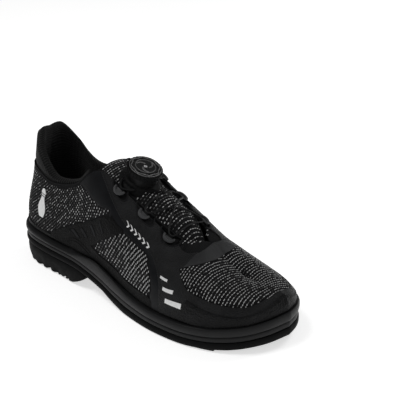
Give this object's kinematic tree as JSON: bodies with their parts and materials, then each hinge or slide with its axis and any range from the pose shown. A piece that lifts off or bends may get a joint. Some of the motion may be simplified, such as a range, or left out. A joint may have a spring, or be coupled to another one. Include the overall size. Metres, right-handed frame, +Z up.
{
  "type": "bowling shoe",
  "caption": "Right-foot bowling shoe with a knitted upper, a raised heel tab, a rubber sole with a separate heel and a turning dial that tightens a cable lace.",
  "frame": {"origin": "on the ground under the middle of the shoe's bounding box", "axes": "+X towards the toe, -Y the outer side of the foot, +Z up"},
  "size_m": [0.3, 0.1166, 0.1298],
  "materials": {
    "midsole_rubber": "satin",
    "outsole_rubber": "matte",
    "shank_plastic": "satin",
    "badge_silver": "brushed",
    "board": "matte",
    "footbed_cloth": "matte",
    "knit": "knitted, black with silver flecks",
    "collar_cloth": "fine mesh",
    "overlay_grey": "fine grained synthetic",
    "overlay_black": "smooth synthetic",
    "guard_leather": "grained synthetic",
    "white_film": "printed film",
    "dial_plastic": "satin",
    "dial_gloss": "gloss",
    "dial_soft": "matte",
    "steel": "brushed",
    "lace_black": "coated cable",
    "guide_plastic": "satin"
  },
  "bodies": {
    "shoe": {"accent_bars_lateral": "white_film", "accent_bars_medial": "white_film", "backstay": "overlay_black", "collar_padding": "collar_cloth", "dial_base": "dial_soft", "dial_housing": "dial_plastic", "eyestay_lateral": "overlay_grey", "eyestay_medial": "overlay_grey", "footbed": "footbed_cloth", "forepart_overlay_lateral": "overlay_grey", "forepart_overlay_medial": "overlay_grey", "foxing_lateral": "overlay_black", "foxing_medial": "overlay_black", "heel_block": "outsole_rubber", "heel_trim": "guard_leather", "insole_board": "board", "lace_cable": "lace_black", "lace_guides_lateral": "guide_plastic", "lace_guides_medial": "guide_plastic", "midsole_band": "midsole_rubber", "midsole_rim": "midsole_rubber", "outsole": "outsole_rubber", "quarter_lateral": "knit", "quarter_medial": "knit", "shank_plate": "shank_plastic", "side_strap_lateral": "overlay_black", "side_strap_medial": "overlay_black", "sole_badge": "badge_silver", "stay_loops": "lace_black", "toe_border": "overlay_grey", "toe_guard": "guard_leather", "tongue": "knit", "tongue_lining": "collar_cloth", "traction_pad": "outsole_rubber", "vamp": "knit", "vamp_bridge": "overlay_grey"},
    "dial_knob": {"dial_knob": "dial_plastic", "dial_grip": "dial_soft", "dial_cap": "dial_gloss", "dial_screw": "steel"},
    "dial_drive": {"dial_shaft": "steel"},
    "dial_spool": {"dial_spool": "dial_plastic"}
  },
  "joints": [
    {"name": "dial_turn", "type": "hinge", "parent": "shoe", "child": "dial_drive", "pos_m": [-0.011, 0, 0.1056], "axis": [0.342, 0, 0.9397], "continuous": true},
    {"name": "dial_release", "type": "slide", "parent": "dial_drive", "child": "dial_knob", "axis": [0.342, 0, 0.9397], "range_m": [0, 0.003]},
    {"name": "spool_turn", "type": "hinge", "parent": "shoe", "child": "dial_spool", "pos_m": [-0.011, 0, 0.1056], "axis": [0.342, 0, 0.9397], "continuous": true}
  ],
  "couplings": [
    {"joint": "spool_turn", "follows": "dial_turn", "ratio": 1}
  ]
}
